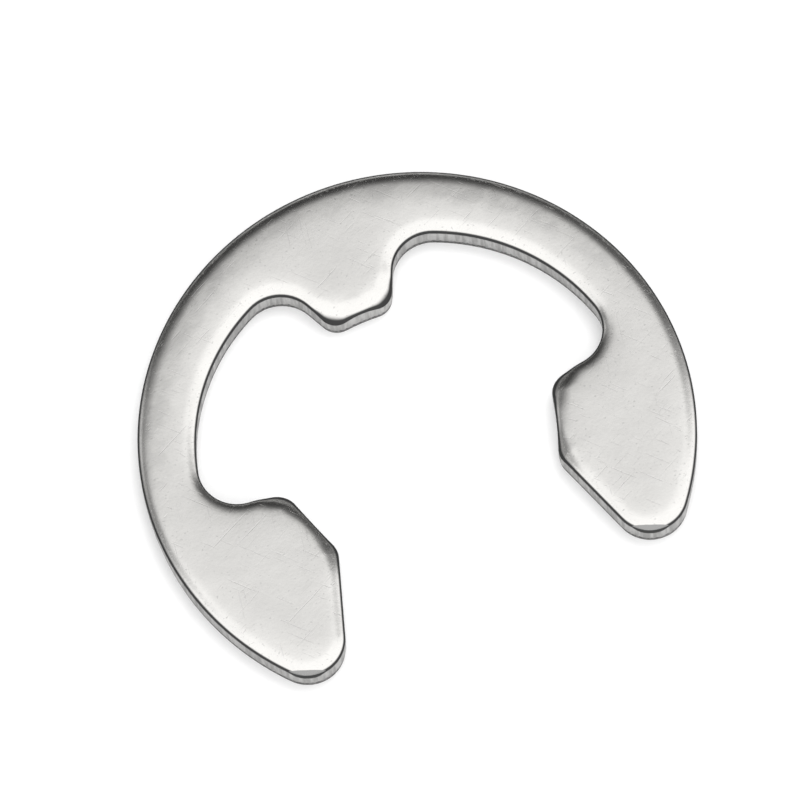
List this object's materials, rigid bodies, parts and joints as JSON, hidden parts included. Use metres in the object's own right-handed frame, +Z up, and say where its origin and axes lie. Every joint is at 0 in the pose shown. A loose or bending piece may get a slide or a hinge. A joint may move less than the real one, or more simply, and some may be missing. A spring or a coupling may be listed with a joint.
{
  "type": "e clip",
  "caption": "Flat E-shaped retaining clip of spring steel that snaps sideways into a shaft groove and holds on three seats.",
  "frame": {"origin": "centre of the shaft groove that the clip grips, on the clip's underside", "axes": "+Z up, towards the face with the rolled edge and along the shaft; the mouth opens towards -Y; +X runs across the two arms"},
  "size_m": [0.012, 0.0101, 0.0008],
  "materials": {
    "spring_steel": "tumbled stainless spring steel, satin to bright, with a rolled upper edge and a sheared rim"
  },
  "bodies": {
    "root": {"e_clip": "spring_steel"}
  },
  "joints": []
}
